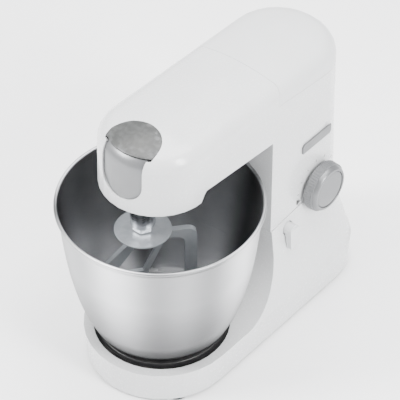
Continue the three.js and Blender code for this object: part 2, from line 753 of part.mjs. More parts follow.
function ringGear() {
  const shape = new THREE.Shape();
  shape.absarc(0, 0, CARRIER.housing, 0, 2 * Math.PI, false);
  shape.holes.push(new THREE.Path(toothOutline(GEAR.ring, 270, true)));
  return raised(shape, LEVEL.ring, LEVEL.ringTop);
}

function gearboxPlate() {
  const shape = new THREE.Shape();
  shape.absarc(0, 0, CARRIER.housing, 0, 2 * Math.PI, false);
  let plate = raised(shape, LEVEL.plate, LEVEL.plateTop, 24);
  plate = plate.add(turned(disc(14, LEVEL.plate, LEVEL.plateTop), { y: pinionY, segments: 24 }));
  plate = plate.subtract(turned(disc(CARRIER.neck + RUN, 280, 300), { segments: 24 }));
  return plate.subtract(turned(disc(4 + RUN, 280, 300), { y: pinionY, segments: 20 }));
}

function planetCarrier() {
  const { disc: radius, bottom, thick, shaft, neck } = CARRIER;
  const top = bottom + thick;
  const step = LEVEL.plate - 0.6;
  const profile = [
    [0, bottom], [radius, bottom], [radius, top], [shaft, top], [shaft, step], [neck, step],
    [neck, LEVEL.bevelTop - 0.3], [0, LEVEL.bevelTop - 0.3],
  ];
  const bore = turned(disc(TOOL.shank + RUN / 2, 270, 290), { y: spindleY, segments: 24 });
  return turned(profile, { segments: 32 }).subtract(bore);
}

// A bevel gear about +Z with its large end at z = 0 and its small end at the given height.
function bevelGear(height) {
  const { outer, inner, bore, teeth, tooth } = BEVEL;
  const points = (z, radius) => {
    const list = [];
    for (let i = 0; i < 2 * teeth; i++) {
      const angle = (Math.PI * (i + 0.5)) / teeth;
      const r = i % 2 ? radius : radius - (tooth * radius) / outer;
      list.push(new THREE.Vector3(r * Math.cos(angle), r * Math.sin(angle), z));
    }
    return list;
  };
  return skinned([points(0, outer), points(height, inner)]).subtract(turned(disc(bore, -1, height + 1), { segments: 20 }));
}

function verticalBevel() {
  return bevelGear(LEVEL.bevelTop - LEVEL.bevel).translate([0, 0, LEVEL.bevel]);
}

function outletBevel() {
  const height = LEVEL.bevelTop - LEVEL.bevel;
  return bevelGear(height).rotate([-90, 0, 0]).translate([0, -BEVEL.outer - GAP, bevelAxisZ]);
}

function outletShaft() {
  const shaft = turnedAlongY([[0, -55], [8.2, -55], [8.2, -43], [4.9, -43], [4.9, -7.5], [0, -7.5]], 0, bevelAxisZ, 24);
  return shaft.subtract(box(-4, 4, -80, -47, bevelAxisZ - 4, bevelAxisZ + 4));
}

function pulleyProfile(radius, bore, low, high) {
  const flange = radius + PULLEY.flange;
  return [
    [bore, low - 2], [flange, low - 2], [flange, low - 0.6], [radius, low - 0.6],
    [radius, high + 0.6], [flange, high + 0.6], [flange, high + 2], [bore, high + 2],
  ];
}

function pinionShaft() {
  const top = LEVEL.beltTop + 3.2;
  const shaft = turned(disc(4, LEVEL.plate, top), { y: pinionY, segments: 16 });
  return shaft.add(spurGear(GEAR.pinion, 15, LEVEL.main, LEVEL.mainTop, 1, 0, pinionY));
}

// The outline of a belt round two wheels in line along Y.
function beltPath(near, far, margin) {
  const distance = MOTOR.y - pinionY;
  const lean = Math.asin((near - far) / distance);
  const path = new THREE.Shape();
  path.absarc(0, pinionY, near + margin, Math.PI - lean, 2 * Math.PI + lean, false);
  path.absarc(0, MOTOR.y, far + margin, lean, Math.PI - lean, false);
  path.closePath();
  return path;
}

function driveBelt() {
  const slack = 0.4;
  const outline = beltPath(PULLEY.large, PULLEY.small, slack + PULLEY.belt);
  outline.holes.push(new THREE.Path(beltPath(PULLEY.large, PULLEY.small, slack).getPoints(12)));
  return raised(outline, LEVEL.belt, LEVEL.beltTop, 12);
}

// ---------------------------------------------------------------------------------------------------
// Motor
// ---------------------------------------------------------------------------------------------------

function motorBracket(low) {
  const plate = box(-TOWER.half + TOWER.wall + 0.8, TOWER.half - TOWER.wall - 0.8, MOTOR.y - 15, MOTOR.y + 15,
    low, low + MOTOR.bearingHeight);
  return plate.subtract(turned(disc(MOTOR.bearing + GAP, low - 1, low + 20), { y: MOTOR.y, segments: 20 }));
}

function bearing(low) {
  return turned(ring(MOTOR.shaft + 0.4, MOTOR.bearing, low, low + MOTOR.bearingHeight), { y: MOTOR.y, segments: 20 });
}

function coolingFan() {
  const low = MOTOR.statorTop + 10;
  const blades = [];
  for (let i = 0; i < 9; i++) {
    const blade = box(8, 34, -1.2, 1.2, low, low + 10).rotate([0, 0, 40 * i]).translate([0, MOTOR.y, 0]);
    blades.push(blade);
  }
  const hub = turned([[4.3, low], [36, low], [36, low + 2], [10, low + 2], [10, low + 12], [4.3, low + 12]],
    { y: MOTOR.y, segments: 20 });
  return union([hub, ...blades]);
}

function brushHolder(side) {
  const x0 = side > 0 ? 13 : -32;
  return box(x0, x0 + 19, MOTOR.y - 6, MOTOR.y + 6, MOTOR.lowerBearing + 14, MOTOR.lowerBearing + 25);
}

// ---------------------------------------------------------------------------------------------------
// Tool
// ---------------------------------------------------------------------------------------------------

function toolSpindle() {
  const { socket, socketBottom, socketTop, shank } = TOOL;
  const bore = shank + 0.5;
  const profile = [
    [0, 250], [bore, 250], [bore, socketBottom], [socket - 1, socketBottom], [socket, socketBottom + 1.4],
    [socket, socketTop - 3], [socket - 2, socketTop], [shank, socketTop], [shank, LEVEL.ringTop], [0, LEVEL.ringTop],
  ];
  return turned(profile, { y: spindleY, segments: 24 });
}

function heightNut() {
  const radius = TOOL.nutAcross / Math.sqrt(3);
  const corners = [];
  for (let i = 0; i < 6; i++) {
    corners.push([radius * Math.cos((Math.PI * i) / 3), radius * Math.sin((Math.PI * i) / 3)]);
  }
  const hex = raised(polygon(corners), TOOL.nutBottom, TOOL.nutTop).translate([0, spindleY, 0]);
  return hex.subtract(turned(disc(TOOL.shank + 0.3, 200, 240), { y: spindleY, segments: 24 }));
}

function splashShield() {
  const { shield, shieldZ, shieldThick, shank } = TOOL;
  const profile = [
    [shank + 0.3, shieldZ], [shield - 0.8, shieldZ - 1.4], [shield, shieldZ - 0.6], [shield, shieldZ + 0.8],
    [shield - 1, shieldZ + 1.2], [shield - 3, shieldZ + 0.4], [shank + 0.3, shieldZ + shieldThick],
  ];
  return turned(profile, { y: spindleY, segments: 32 });
}

// A straight bar in the beater's plane, between two points given as [across, height].
function flatBar([u0, z0], [u1, z1], width, thick) {
  const length = Math.hypot(u1 - u0, z1 - z0);
  const geometry = new THREE.BoxGeometry(length, thick, width);
  geometry.rotateY(-Math.atan2(z1 - z0, u1 - u0));
  geometry.translate((u0 + u1) / 2, 0, (z0 + z1) / 2);
  return solid(geometry);
}

function beater() {
  const { rightReach, leftReach, bottom, armTop, bar, thick, hubTop, shank } = TOOL;
  const outline = (inset) => {
    const right = rightReach - inset;
    const left = -leftReach + inset;
    const low = bottom + inset * 0.75;
    const shape = new THREE.Shape();
    shape.moveTo(-4, armTop - inset * 0.8);
    shape.lineTo(left, armTop - 56 - inset * 0.8);
    shape.lineTo(left, low + 42);
    shape.quadraticCurveTo(left + 4, low + 4, -20, low);
    shape.lineTo(20, low);
    shape.quadraticCurveTo(right - 4, low + 6, right, low + 56);
    shape.lineTo(right, armTop - 12 - inset * 0.6);
    shape.quadraticCurveTo(right, armTop - inset * 0.8, right - 12, armTop - inset * 0.8);
    shape.closePath();
    return shape;
  };
  const plate = (shape, t) => {
    const geometry = new THREE.ExtrudeGeometry(shape, { depth: t, bevelEnabled: false, curveSegments: 8 });
    geometry.rotateX(Math.PI / 2);
    geometry.translate(0, t / 2, 0);
    return solid(geometry);
  };
  const frame = plate(outline(0), thick).subtract(plate(outline(bar), thick + 4));
  const diagonal = flatBar([24, armTop - 8], [-34, bottom + 10], 6, 5);
  const leg = flatBar([0, armTop - 62], [38, bottom + 16], 6, 5);
  const stay = flatBar([0, armTop - 62], [-leftReach + 5, armTop - 64], 7, 5);
  const hub = turned(disc(11, armTop - 16, hubTop), { segments: 28 });
  const stem = turned(disc(shank - 0.2, armTop - 4, 246), { segments: 24 });
  return union([frame, diagonal, leg, stay, hub, stem])
    .rotate([0, 0, TOOL.heading])
    .translate([0, spindleY, 0]);
}

// ---------------------------------------------------------------------------------------------------
// Controls
// ---------------------------------------------------------------------------------------------------

function dialKnob() {
  const { radius, face, rear, front, shaft, capRadius } = DIAL;
  const profile = [
    [shaft + 0.3, rear + 4], [radius - 3, rear + 4], [radius - 3, rear], [radius, rear], [radius - 0.6, rear + 10],
    [face + 0.8, front - 2], [face - 1, front], [capRadius + GAP, front], [capRadius + GAP, front - 3],
    [shaft + 0.3, front - 3],
  ];
  return turnedAlongX(profile, DIAL.y, DIAL.z, 36);
}

function dialCap() {
  const { capRadius, front } = DIAL;
  const profile = [[0, front - 2.6], [capRadius, front - 2.6], [capRadius, front - 1], [capRadius - 3, front - 0.4],
    [0, front - 0.2]];
  return turnedAlongX(profile, DIAL.y, DIAL.z, 28);
}

function dialPointer() {
  const tip = DIAL.y - DIAL.radius - 1;
  const x = TOWER.half + GAP;
  return across(polygon([[tip, DIAL.z - 6], [tip - 6, DIAL.z - 2.5], [tip - 6, DIAL.z - 9.5]]), x, x + 0.9);
}

function releaseLever() {
  const wallAt = (z) => pedestalPlan(z).half;
  const { y, z, hub, width, bottom, reach, shaft } = LATCH;
  const side = polygon([
    [wallAt(bottom - 2) + RUN, bottom],
    [reach, bottom],
    [reach - 1, z + 4],
    [wallAt(z - 3) + RUN, z + 4],
  ]);
  const tongue = backwards(side, y - width / 2, y + width / 2);
  const knuckle = turnedAlongX(disc(hub, LATCH.hookX + 23, reach - 2), y, z, 32);
  const bore = turnedAlongX(disc(shaft + 0.3, 0, LATCH.hookX + 30), y, z, 20);
  return tongue.add(knuckle).subtract(bore);
}

function leverBezel() {
  const { y, z, hub, shaft, hookX } = LATCH;
  const x0 = hookX + 19;
  const profile = [
    [shaft + RUN, x0], [hub + 3, x0], [hub + 3, x0 + 6], [hub + RUN, x0 + 6], [hub + RUN, x0 + 2.5], [shaft + RUN, x0 + 2.5],
  ];
  return turnedAlongX(profile, y, z, 20);
}

function latchHook() {
  const { y, z, hookX, hookWidth, shaft } = LATCH;
  const top = seamZ(y) + 12;
  const shape = new THREE.Shape();
  shape.moveTo(y + 4.5, z);
  shape.lineTo(y + 4.5, top);
  shape.lineTo(y - 5.2, top - 2);
  shape.lineTo(y - 5.2, top - 6);
  shape.lineTo(y - 3, top - 7);
  shape.lineTo(y - 3, z);
  shape.closePath();
  const arm = across(shape, hookX, hookX + hookWidth);
  const eye = turnedAlongX(disc(8, hookX, hookX + hookWidth), y, z, 20);
  return arm.add(eye).subtract(turnedAlongX(disc(shaft + 0.3, 0, 80), y, z, 20));
}

function latchStriker() {
  const { y, hookX, hookWidth } = LATCH;
  const barY = y - 9;
  const low = seamZ(y) + SEAM.gap / 2 + TOWER.wall + 0.6;
  const bar = turnedAlongX(disc(2.5, hookX - 6, hookX + hookWidth + 6), barY, low + 4.6, 16);
  const cheek = (x) => box(x, x + 3, barY - 5, barY + 5, low, low + 9);
  return union([bar, cheek(hookX - 6.5), cheek(hookX + hookWidth + 3.5)]);
}

function badgePlate() {
  const { y, z, length, height, rise } = BADGE;
  const half = length / 2;
  const tall = height / 2;
  const x = TOWER.half + GAP;
  const outline = polygon([
    [y - half, z + tall - 3], [y - half, z - tall], [y + half - 3, z - tall], [y + half, z - tall + 3],
    [y + half, z + tall], [y - half + 3, z + tall],
  ]);
  return across(outline, x, x + rise);
}

// ---------------------------------------------------------------------------------------------------
// Materials and assembly
// ---------------------------------------------------------------------------------------------------

const finish = {
  whiteBody: { color: 0xe9eaeb, roughness: 0.28, metalness: 0 },
  greyPlastic: { color: 0x808080, roughness: 0.5, metalness: 0 },
  blackPlastic: { color: 0x101011, roughness: 0.4, metalness: 0 },
  silver: { color: 0xa9a9ab, roughness: 0.35, metalness: 0.6 },
  bowlSteel: { color: 0xc6c8ca, roughness: 0.3, metalness: 1 },
  brightSteel: { color: 0xc9cacc, roughness: 0.2, metalness: 1 },
  castAluminium: { color: 0x9aa0a4, roughness: 0.4, metalness: 0.9 },
  rubber: { color: 0x202020, roughness: 0.9, metalness: 0 },
  brass: { color: 0xb08d45, roughness: 0.35, metalness: 1 },
  copper: { color: 0xa8653a, roughness: 0.4, metalness: 0.9 },
};

const group = new THREE.Group();
group.position.y = -originY;

function place(parent, name, made, look) {
  const mesh = new THREE.Mesh(geometryOf(made), new THREE.MeshStandardMaterial(finish[look]));
  mesh.name = name;
  parent.add(mesh);
}

const pedestal = new THREE.Group();
place(pedestal, 'pedestal_shell', pedestalShell(), 'whiteBody');
place(pedestal, 'base_plate', basePlate(), 'greyPlastic');
footPlaces.forEach((spot, i) => place(pedestal, `foot_${i + 1}`, foot(spot), 'rubber'));
screwPlaces.forEach((spot, i) => place(pedestal, `base_screw_${i + 1}`, baseScrew(spot), 'brightSteel'));
place(pedestal, 'bowl_seat', bowlSeat(), 'blackPlastic');
place(pedestal, 'cord_gland', cordGland(), 'blackPlastic');
place(pedestal, 'hinge_pin', hingeCylinder(HINGE.pin, -HINGE.discX - 5, HINGE.discX + 5, 20), 'brightSteel');
place(pedestal, 'lever_bezel', leverBezel(), 'greyPlastic');

const latch = new THREE.Group();
place(latch, 'release_lever', releaseLever(), 'whiteBody');
place(latch, 'latch_shaft', turnedAlongX(disc(LATCH.shaft, LATCH.hookX - 4, LATCH.hookX + 29.4), LATCH.y, LATCH.z, 20),
  'brightSteel');
place(latch, 'latch_hook', latchHook(), 'brightSteel');

const bowlGroup = new THREE.Group();
place(bowlGroup, 'bowl', bowlBody(), 'bowlSteel');
place(bowlGroup, 'bowl_foot_ring', bowlFootRing(), 'blackPlastic');

const head = new THREE.Group();
place(head, 'upper_tower_casing', upperTower(), 'whiteBody');
place(head, 'head_casing', headCasing(), 'whiteBody');
place(head, 'high_speed_outlet_cover', rearCover(), 'whiteBody');
place(head, 'outlet_flap', outletFlap(), 'silver');
place(head, 'outlet_catch', outletCatch(), 'greyPlastic');
place(head, 'outlet_housing', outletHousing(), 'blackPlastic');
place(head, 'slow_speed_socket', slowSocket(), 'brightSteel');
place(head, 'gearbox_plate', gearboxPlate(), 'castAluminium');
place(head, 'ring_gear', ringGear(), 'castAluminium');
place(head, 'latch_striker', latchStriker(), 'brightSteel');
place(head, 'badge_plate', badgePlate(), 'silver');
place(head, 'dial_pointer', dialPointer(), 'greyPlastic');
place(head, 'dial_knob', dialKnob(), 'silver');
place(head, 'dial_cap', dialCap(), 'silver');
place(head, 'dial_shaft', turnedAlongX(disc(DIAL.shaft, 44, DIAL.front - 3.4), DIAL.y, DIAL.z, 20), 'brightSteel');

const drive = new THREE.Group();
place(drive, 'planet_carrier', planetCarrier(), 'castAluminium');
place(drive, 'main_gear', spurGear(GEAR.main, 90, LEVEL.main, LEVEL.mainTop, CARRIER.neck + 0.3), 'brightSteel');
place(drive, 'vertical_bevel_gear', verticalBevel(), 'brightSteel');
place(drive, 'outlet_bevel_gear', outletBevel(), 'brightSteel');
place(drive, 'outlet_drive_shaft', outletShaft(), 'brightSteel');
place(drive, 'pinion_shaft', pinionShaft(), 'brightSteel');
place(drive, 'large_pulley', turned(pulleyProfile(PULLEY.large, 4.3, LEVEL.belt, LEVEL.beltTop), { y: pinionY }),
  'castAluminium');
place(drive, 'drive_belt', driveBelt(), 'rubber');
head.add(drive);

const motor = new THREE.Group();
const statorProfile = ring(MOTOR.statorBore, MOTOR.statorOuter, MOTOR.statorBottom, MOTOR.statorTop);
const rotorProfile = ring(MOTOR.shaft + 0.3, MOTOR.statorBore - RUN, MOTOR.statorBottom + 2, MOTOR.statorTop - 2);
const commutatorProfile = ring(MOTOR.shaft + 0.3, 12, MOTOR.lowerBearing + 13, MOTOR.lowerBearing + 26);
const clutchProfile = ring(MOTOR.shaft + 0.3, 12, LEVEL.beltTop + 6, MOTOR.shaftTop - 1);
const atMotor = { y: MOTOR.y, segments: 24 };
place(motor, 'motor_stator', turned(statorProfile, atMotor), 'castAluminium');
place(motor, 'motor_bracket_lower', motorBracket(MOTOR.lowerBearing), 'castAluminium');
place(motor, 'motor_bracket_upper', motorBracket(MOTOR.upperBearing), 'castAluminium');
place(motor, 'motor_bearing_lower', bearing(MOTOR.lowerBearing), 'brightSteel');
place(motor, 'motor_bearing_upper', bearing(MOTOR.upperBearing), 'brightSteel');
place(motor, 'brush_holder_left', brushHolder(-1), 'brass');
place(motor, 'brush_holder_right', brushHolder(1), 'brass');
place(motor, 'motor_shaft', turned(disc(MOTOR.shaft, MOTOR.shaftBottom, MOTOR.shaftTop), atMotor), 'brightSteel');
place(motor, 'rotor_core', turned(rotorProfile, atMotor), 'copper');
place(motor, 'commutator', turned(commutatorProfile, atMotor), 'copper');
place(motor, 'cooling_fan', coolingFan(), 'blackPlastic');
place(motor, 'motor_pulley', turned(pulleyProfile(PULLEY.small, 4.3, LEVEL.belt, LEVEL.beltTop), atMotor), 'brightSteel');
place(motor, 'high_speed_drive', turned(clutchProfile, atMotor), 'blackPlastic');
head.add(motor);

const tool = new THREE.Group();
place(tool, 'tool_spindle', toolSpindle(), 'brightSteel');
place(tool, 'planet_pinion', spurGear(GEAR.planet, 279, LEVEL.ring, LEVEL.ringTop - 0.4, TOOL.shank + 0.3, 0, spindleY),
  'brightSteel');
place(tool, 'height_nut', heightNut(), 'brightSteel');
place(tool, 'splash_shield', splashShield(), 'castAluminium');
place(tool, 'k_beater', beater(), 'castAluminium');
head.add(tool);

group.add(pedestal, latch, bowlGroup, head);

export default group;
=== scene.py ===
"""Studio scene of a tilt-head stand mixer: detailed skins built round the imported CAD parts."""

import enum
import json
import logging
import math
from dataclasses import dataclass, field
from typing import Callable, Optional, Sequence

import bmesh
import bpy
import numpy as np
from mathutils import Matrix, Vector


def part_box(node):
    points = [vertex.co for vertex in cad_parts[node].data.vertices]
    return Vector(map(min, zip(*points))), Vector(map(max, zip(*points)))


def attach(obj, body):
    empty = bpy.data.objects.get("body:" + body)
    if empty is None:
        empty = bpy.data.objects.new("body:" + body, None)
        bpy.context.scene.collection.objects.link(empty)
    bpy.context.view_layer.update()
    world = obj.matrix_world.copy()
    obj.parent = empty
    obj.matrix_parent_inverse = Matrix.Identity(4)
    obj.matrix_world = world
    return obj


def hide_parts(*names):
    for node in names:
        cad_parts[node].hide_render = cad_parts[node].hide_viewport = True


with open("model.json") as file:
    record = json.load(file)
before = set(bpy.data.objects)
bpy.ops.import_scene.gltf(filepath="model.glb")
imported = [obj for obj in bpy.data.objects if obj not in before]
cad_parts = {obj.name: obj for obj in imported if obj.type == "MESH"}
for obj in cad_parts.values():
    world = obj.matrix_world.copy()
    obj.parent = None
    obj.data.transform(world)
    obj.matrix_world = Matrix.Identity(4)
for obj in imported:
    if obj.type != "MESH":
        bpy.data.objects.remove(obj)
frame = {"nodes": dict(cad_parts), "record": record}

log = logging.getLogger("mixer")

MM = 0.001


# --------------------------------------------------------------------------------------
# Node groups: shared surface effects
# --------------------------------------------------------------------------------------


class Wiring:
    """Adds nodes to a tree and links them, so that a material reads as a short recipe."""

    def __init__(self, tree: bpy.types.NodeTree) -> None:
        """Starts with an empty tree.

        Args:
            tree: the node tree to fill.
        """
        self.tree = tree
        tree.nodes.clear()

    def node(self, kind: str, settings: Optional[dict] = None, **inputs: object) -> bpy.types.Node:
        """Adds one node.

        Args:
            kind: the node's type, without the ShaderNode prefix.
            settings: properties of the node itself.
            **inputs: values or output sockets for its inputs; an underscore stands for a space.

        Returns:
            The new node.
        """
        made = self.tree.nodes.new("ShaderNode" + kind)
        for name, value in (settings or {}).items():
            setattr(made, name, value)
        for name, value in inputs.items():
            self.feed(made.inputs[name.replace("_", " ")], value)
        return made

    def feed(self, socket: bpy.types.NodeSocket, value: object) -> None:
        """Links an output to the socket, or sets its constant."""
        if isinstance(value, bpy.types.NodeSocket):
            self.tree.links.new(value, socket)
        else:
            socket.default_value = value

    def math(self, operation: str, first: object, second: object = 0.5) -> bpy.types.NodeSocket:
        """Adds a Math node.

        Args:
            operation: its operation, such as "MULTIPLY".
            first: value or socket.
            second: value or socket.

        Returns:
            The result socket.
        """
        made = self.tree.nodes.new("ShaderNodeMath")
        made.operation = operation
        self.feed(made.inputs[0], first)
        self.feed(made.inputs[1], second)
        return made.outputs[0]

    def mix(self, factor: object, first: object, second: object) -> bpy.types.NodeSocket:
        """Mixes two colours by a factor and returns the result socket."""
        made = self.tree.nodes.new("ShaderNodeMix")
        made.data_type = "RGBA"
        self.feed(made.inputs["Factor"], factor)
        self.feed(made.inputs[6], first)
        self.feed(made.inputs[7], second)
        return made.outputs[2]

    def span(
        self, value: object, low: float, high: float, to_low: float, to_high: float
    ) -> bpy.types.NodeSocket:
        """Maps a value from one range to another, clamped, and returns the result socket."""
        made = self.node("MapRange", None, Value=value)
        for index, number in enumerate((low, high, to_low, to_high), start=1):
            made.inputs[index].default_value = number
        return made.outputs[0]


def node_group(
    name: str,
    inputs: Sequence[tuple[str, str, object]],
    outputs: Sequence[tuple[str, str]],
    build: Callable[[Wiring, bpy.types.Node], dict],
) -> bpy.types.NodeTree:
    """Makes a shader node group with named sockets, once.

    Args:
        name: the group's name.
        inputs: (name, socket type, default) for each input.
        outputs: (name, socket type) for each output.
        build: fills the group and returns the output sockets by name.

    Returns:
        The node group.
    """
    if name in bpy.data.node_groups:
        return bpy.data.node_groups[name]
    tree = bpy.data.node_groups.new(name, "ShaderNodeTree")
    for label, kind, default in inputs:
        tree.interface.new_socket(label, in_out="INPUT", socket_type=kind).default_value = default
    for label, kind in outputs:
        tree.interface.new_socket(label, in_out="OUTPUT", socket_type=kind)
    wiring = Wiring(tree)
    source = tree.nodes.new("NodeGroupInput")
    result = build(wiring, source)
    sink = tree.nodes.new("NodeGroupOutput")
    for label, socket in result.items():
        tree.links.new(socket, sink.inputs[label])
    return tree


SLOW_BANDS, QUICK_BANDS = 4.0, 9.0  # painted reflection bands round the turn
SLOW_DEPTH, QUICK_DEPTH = 0.34, 0.16
SHADE_HEIGHTS = (0.052, 0.17)  # metres: full shade, and none

FLOAT = "NodeSocketFloat"
VECTOR = "NodeSocketVector"


def grain_group() -> bpy.types.NodeTree:
    """Fine and coarse noise: a grain value for roughness and bump, and a slow mottling for colour."""

    def build(w: Wiring, source: bpy.types.Node) -> dict:
        """Fills the group and returns its outputs by name."""
        place = source.outputs["Vector"]
        fine = w.node("TexNoise", None, Vector=place, Scale=source.outputs["Fine Scale"], Detail=3.0)
        slow = w.node("TexNoise", None, Vector=place, Scale=source.outputs["Slow Scale"], Detail=2.0)
        return {"Grain": fine.outputs[0], "Mottle": w.span(slow.outputs[0], 0.35, 0.65, 0.0, 1.0)}

    sockets = [("Vector", VECTOR, (0, 0, 0)), ("Fine Scale", FLOAT, 900.0), ("Slow Scale", FLOAT, 18.0)]
    return node_group("Grain", sockets, [("Grain", FLOAT), ("Mottle", FLOAT)], build)


def wear_group() -> bpy.types.NodeTree:
    """A mask that is 1 on rubbed convex edges, broken up by noise."""

    def build(w: Wiring, source: bpy.types.Node) -> dict:
        """Fills the group and returns its outputs by name."""
        edge = w.node("NewGeometry").outputs["Pointiness"]
        raised = w.span(edge, 0.505, 0.56, 0.0, 1.0)
        noise = w.node("TexNoise", None, Vector=source.outputs["Vector"], Scale=160.0, Detail=4.0)
        broken = w.span(noise.outputs[0], 0.42, 0.62, 0.0, 1.0)
        mask = w.math("MULTIPLY", raised, broken)
        return {"Mask": w.math("MULTIPLY", mask, source.outputs["Amount"])}

    sockets = [("Vector", VECTOR, (0, 0, 0)), ("Amount", FLOAT, 0.3)]
    return node_group("Edge Wear", sockets, [("Mask", FLOAT)], build)


def dust_group() -> bpy.types.NodeTree:
    """A mask of thin dust that lies on faces that look up."""

    def build(w: Wiring, source: bpy.types.Node) -> dict:
        """Fills the group and returns its outputs by name."""
        normal = w.node("NewGeometry").outputs["True Normal"]
        up = w.node("SeparateXYZ", None, Vector=normal).outputs["Z"]
        lies = w.span(up, 0.55, 1.0, 0.0, 1.0)
        noise = w.node("TexNoise", None, Vector=source.outputs["Vector"], Scale=55.0, Detail=5.0)
        patch = w.span(noise.outputs[0], 0.4, 0.75, 0.0, 1.0)
        mask = w.math("MULTIPLY", lies, patch)
        return {"Mask": w.math("MULTIPLY", mask, source.outputs["Amount"])}

    sockets = [("Vector", VECTOR, (0, 0, 0)), ("Amount", FLOAT, 0.1)]
    return node_group("Dust", sockets, [("Mask", FLOAT)], build)


def brushing_group() -> bpy.types.NodeTree:
    """Streaks round a vertical axis: noise squeezed along the height and stretched round the turn."""

    def build(w: Wiring, source: bpy.types.Node) -> dict:
        """Fills the group and returns its outputs by name."""
        away = w.node("VectorMath", {"operation": "SUBTRACT"})
        w.feed(away.inputs[0], source.outputs["Vector"])
        w.feed(away.inputs[1], source.outputs["Centre"])
        part = w.node("SeparateXYZ", None, Vector=away.outputs[0])
        radius = w.node("VectorMath", {"operation": "LENGTH"})
        flat = w.node("CombineXYZ", None, X=part.outputs["X"], Y=part.outputs["Y"], Z=0.0)
        w.feed(radius.inputs[0], flat.outputs[0])
        x = w.math("MULTIPLY", part.outputs["X"], source.outputs["Along"])
        y = w.math("MULTIPLY", part.outputs["Y"], source.outputs["Along"])
        climb = w.math("ADD", part.outputs["Z"], radius.outputs["Value"])
        z = w.math("MULTIPLY", climb, source.outputs["Across"])
        stretched = w.node("CombineXYZ", None, X=x, Y=y, Z=z)
        noise = w.node("TexNoise", None, Vector=stretched.outputs[0], Scale=1.0, Detail=3.0, Roughness=0.7)
        return {"Streak": noise.outputs[0]}

    sockets = [
        ("Vector", VECTOR, (0, 0, 0)),
        ("Centre", VECTOR, (0, 0, 0)),
        ("Along", FLOAT, 12.0),
        ("Across", FLOAT, 1800.0),
    ]
    return node_group("Brushing", sockets, [("Streak", FLOAT)], build)


def sheen_group() -> bpy.types.NodeTree:
    """Soft dark and light bands of painted reflection on a spun wall, and painted shade towards its foot.

    The angle round the axis is taken from the object coordinates; two sines of it, one slow and one
    quick, make the painted reflection bands, and the height makes the painted shade, on the faces that look
    away from the axis.
    """

    def build(w: Wiring, source: bpy.types.Node) -> dict:
        """Fills the group and returns its outputs by name."""
        away = w.node("VectorMath", {"operation": "SUBTRACT"})
        w.feed(away.inputs[0], source.outputs["Vector"])
        w.feed(away.inputs[1], source.outputs["Centre"])
        part = w.node("SeparateXYZ", None, Vector=away.outputs[0])
        angle = w.math("ARCTAN2", part.outputs["Y"], part.outputs["X"])
        turn = source.outputs["Turn"]
        slow = w.math("SINE", w.math("ADD", w.math("MULTIPLY", angle, SLOW_BANDS), turn), 0.0)
        quick = w.math("SINE", w.math("ADD", w.math("MULTIPLY", angle, QUICK_BANDS), turn), 0.0)
        both = w.math("ADD", w.math("MULTIPLY", slow, SLOW_DEPTH), w.math("MULTIPLY", quick, QUICK_DEPTH))
        bands = w.math("ADD", both, 0.5)
        shade = w.span(part.outputs["Z"], *SHADE_HEIGHTS, 1.0, 0.0)
        facing = w.node("VectorMath", {"operation": "DOT_PRODUCT"})
        w.feed(facing.inputs[0], w.node("NewGeometry").outputs["True Normal"])
        w.feed(facing.inputs[1], away.outputs[0])
        outside = w.span(facing.outputs["Value"], -0.004, 0.004, 0.0, 1.0)
        return {"Bands": bands, "Foot Shade": w.math("MULTIPLY", w.math("POWER", shade, 0.9), outside)}

    sockets = [("Vector", VECTOR, (0, 0, 0)), ("Centre", VECTOR, (0, 0, 0)), ("Turn", FLOAT, 0.0)]
    return node_group("Painted Sheen And Shade", sockets, [("Bands", FLOAT), ("Foot Shade", FLOAT)], build)


# --------------------------------------------------------------------------------------
# Finishes
# --------------------------------------------------------------------------------------


def linear(red: float, green: float, blue: float) -> tuple[float, float, float, float]:
    """Turns a display colour of 0 to 255 a channel into the linear colour that shaders take."""
    return tuple(((v / 255 + 0.055) / 1.055) ** 2.4 for v in (red, green, blue)) + (1.0,)


